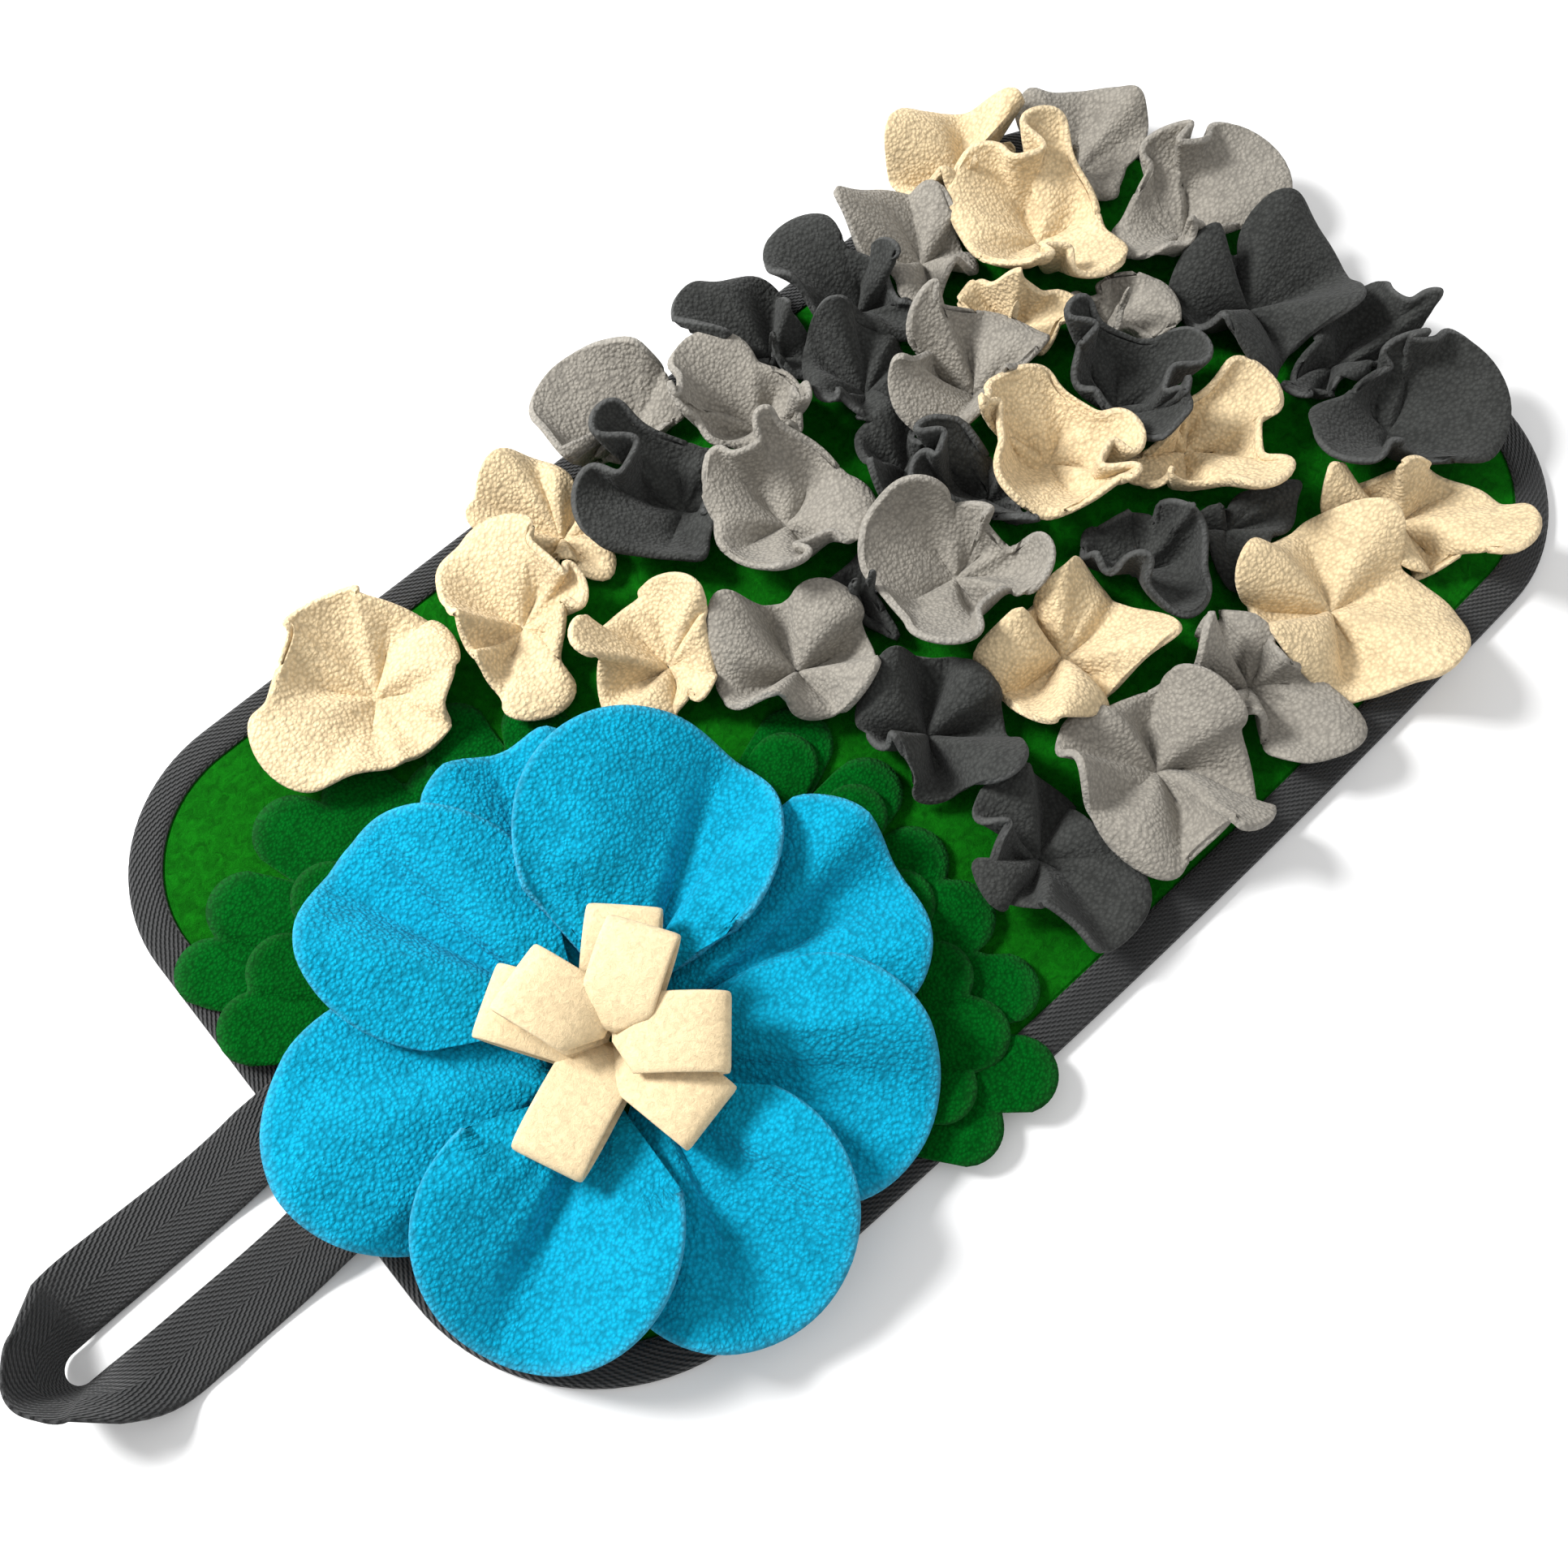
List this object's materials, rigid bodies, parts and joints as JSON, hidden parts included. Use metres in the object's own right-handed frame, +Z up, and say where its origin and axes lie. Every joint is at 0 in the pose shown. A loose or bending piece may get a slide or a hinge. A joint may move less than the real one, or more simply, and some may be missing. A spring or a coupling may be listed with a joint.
{
  "type": "snuffle mat",
  "caption": "Bound felt feeding mat with a hanging strap, a blue fleece flower on green leaves and a field of gathered fleece ruffles that hide treats.",
  "frame": {"origin": "middle of the flat underside of the felt base, z = 0 on the floor", "axes": "+X along the mat's length, away from the strap, +Y across the mat towards its long side with the straight edge, +Z up"},
  "size_m": [0.6042, 0.3098, 0.0441],
  "materials": {
    "felt": "needled felt, matt",
    "tape": "herringbone woven tape",
    "leaf": "felted pile, matt",
    "petal": "brushed fleece, matt",
    "cream": "brushed fleece, matt",
    "light": "brushed fleece, matt",
    "dark": "brushed fleece, matt"
  },
  "bodies": {
    "root": {"mat_felt": "felt", "binding": "tape", "strap_loop": "tape", "leaf_lower": "leaf", "leaf_upper_left": "leaf", "leaf_upper_right": "leaf", "petal_1": "petal", "petal_2": "petal", "petal_3": "petal", "petal_4": "petal", "petal_5": "petal", "petal_6": "petal", "petal_7": "petal", "petal_8": "petal", "centre_loop_1": "cream", "centre_loop_2": "cream", "centre_loop_3": "cream", "centre_loop_4": "cream", "centre_loop_5": "cream", "centre_loop_6": "cream", "centre_loop_7": "cream", "ruffle_01_cream": "cream", "ruffle_02_cream": "cream", "ruffle_03_cream": "cream", "ruffle_04_cream": "cream", "ruffle_05_light": "light", "ruffle_06_light": "light", "ruffle_07_dark": "dark", "ruffle_08_light": "light", "ruffle_09_light": "light", "ruffle_10_dark": "dark", "ruffle_11_dark": "dark", "ruffle_12_dark": "dark", "ruffle_13_dark": "dark", "ruffle_14_dark": "dark", "ruffle_15_light": "light", "ruffle_16_dark": "dark", "ruffle_17_light": "light", "ruffle_18_cream": "cream", "ruffle_19_cream": "cream", "ruffle_20_light": "light", "ruffle_21_cream": "cream", "ruffle_22_cream": "cream", "ruffle_23_light": "light", "ruffle_24_light": "light", "ruffle_25_light": "light", "ruffle_26_dark": "dark", "ruffle_27_dark": "dark", "ruffle_28_cream": "cream", "ruffle_29_dark": "dark", "ruffle_30_dark": "dark", "ruffle_31_cream": "cream", "ruffle_32_cream": "cream", "ruffle_33_dark": "dark", "ruffle_34_dark": "dark", "ruffle_35_cream": "cream", "ruffle_36_light": "light", "ruffle_37_light": "light", "ruffle_38_dark": "dark", "ruffle_39_dark": "dark"}
  },
  "joints": []
}
